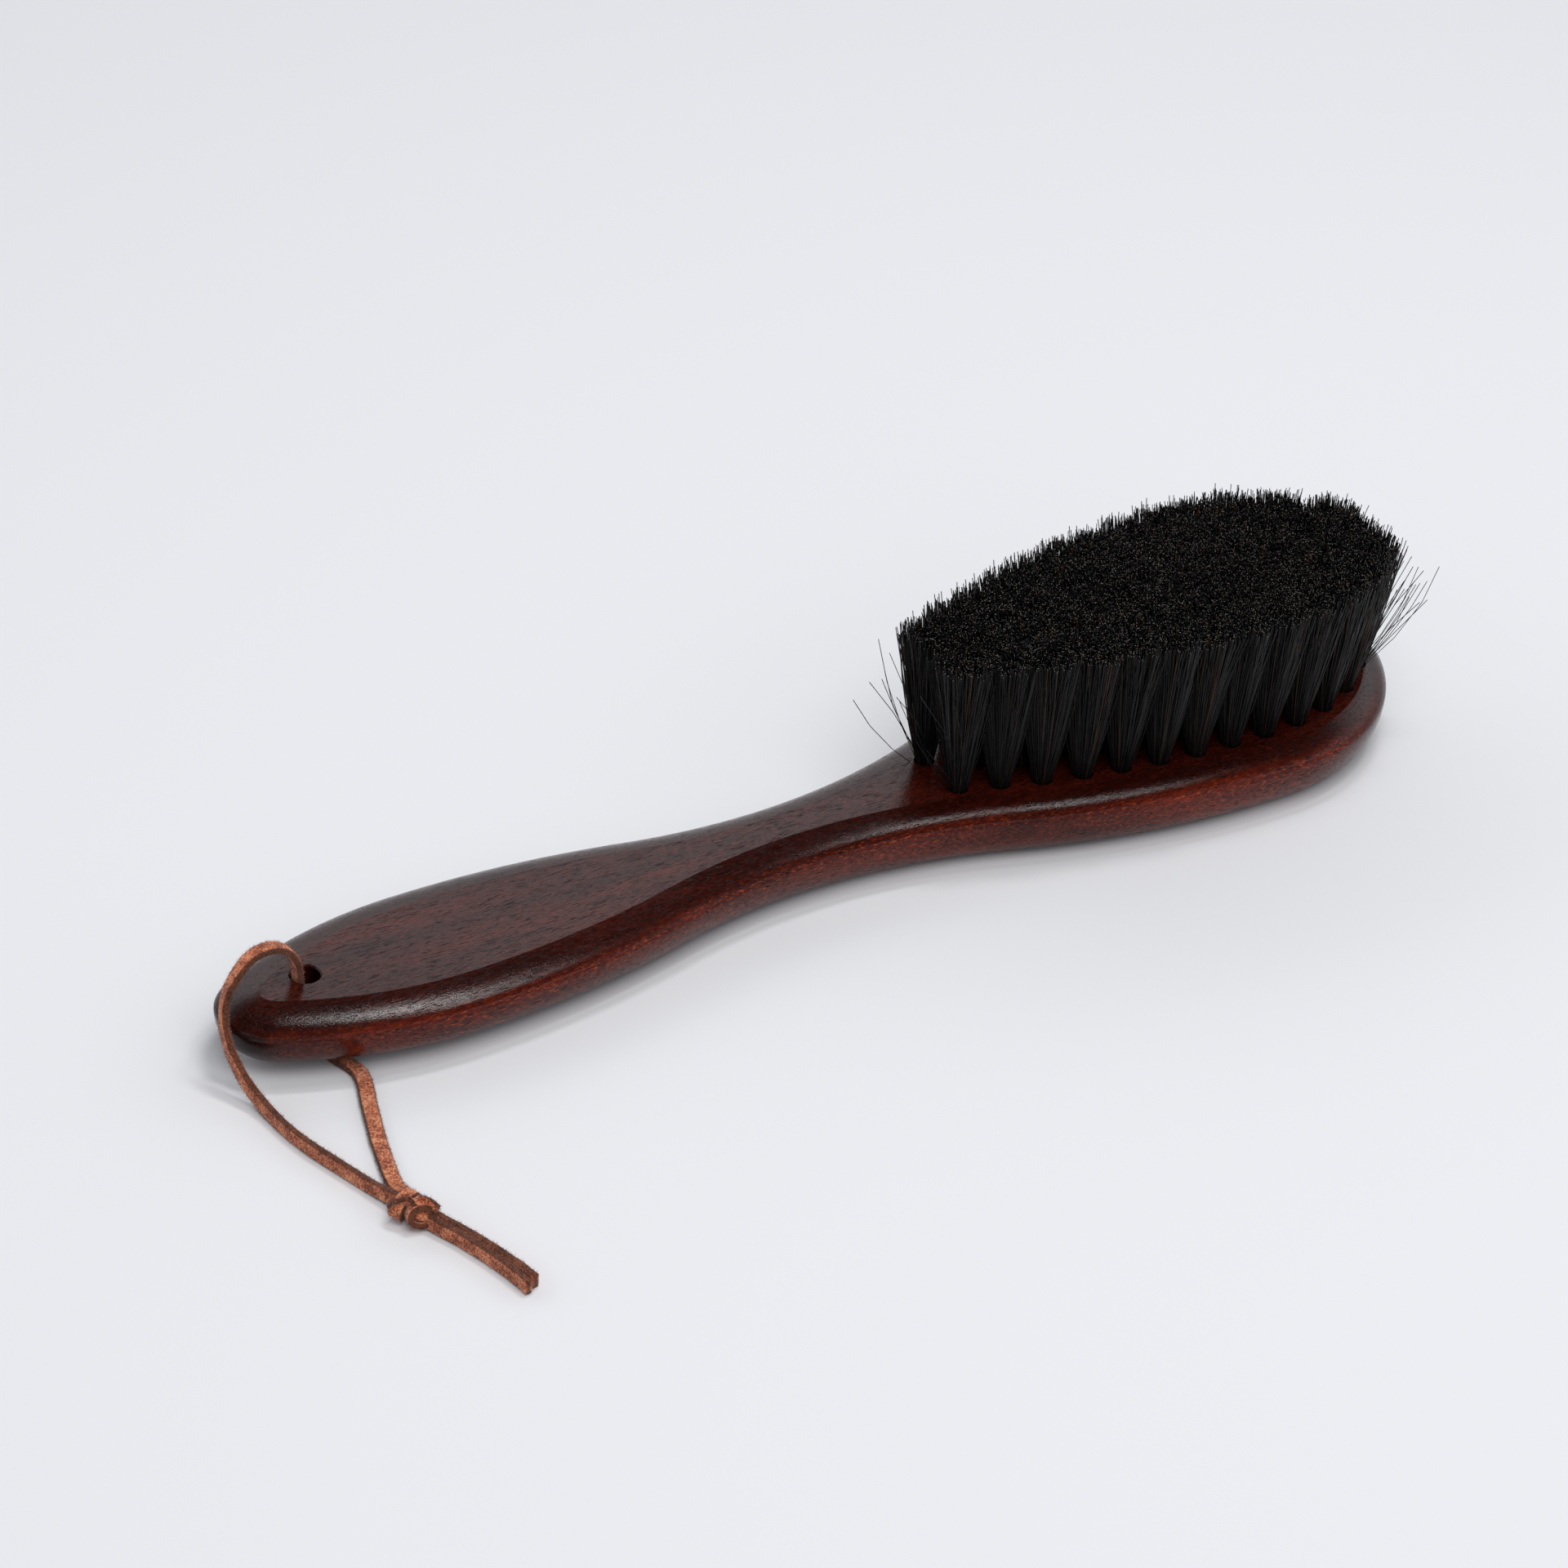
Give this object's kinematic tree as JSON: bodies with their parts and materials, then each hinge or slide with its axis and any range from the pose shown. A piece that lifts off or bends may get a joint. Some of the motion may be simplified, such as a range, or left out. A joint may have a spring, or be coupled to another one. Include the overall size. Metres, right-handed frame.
{
  "type": "shoe shine brush",
  "caption": "Long-handled wooden shoe shine brush with a dense block of dark hair and a knotted suede hanging lace.",
  "frame": {"origin": "centre of the brush's box without its lace, on the surface that the back lies on", "axes": "+X along the stock towards the head's toe, +Z out of the bristle face, +Y to the left of the head"},
  "size_m": [0.2823, 0.1194, 0.044],
  "materials": {
    "lacquered_wood": "gloss",
    "horsehair": "satin",
    "anchor_wire": "satin",
    "suede": "matte"
  },
  "bodies": {
    "root": {"stock": "lacquered_wood", "tuft_row_01": "horsehair", "tuft_row_02": "horsehair", "tuft_row_03": "horsehair", "tuft_row_04": "horsehair", "tuft_row_05": "horsehair", "tuft_row_06": "horsehair", "tuft_row_07": "horsehair", "tuft_row_08": "horsehair", "tuft_row_09": "horsehair", "tuft_row_10": "horsehair", "tuft_row_11": "horsehair", "tuft_row_12": "horsehair", "tuft_row_13": "horsehair", "anchor_row_01": "anchor_wire", "anchor_row_02": "anchor_wire", "anchor_row_03": "anchor_wire", "anchor_row_04": "anchor_wire", "anchor_row_05": "anchor_wire", "anchor_row_06": "anchor_wire", "anchor_row_07": "anchor_wire", "anchor_row_08": "anchor_wire", "anchor_row_09": "anchor_wire", "anchor_row_10": "anchor_wire", "anchor_row_11": "anchor_wire", "anchor_row_12": "anchor_wire", "anchor_row_13": "anchor_wire", "lace_in_hole": "suede", "lace_over": "suede", "lace_under": "suede", "lace_knot": "suede", "lace_tail_near": "suede", "lace_tail_far": "suede"}
  },
  "joints": []
}
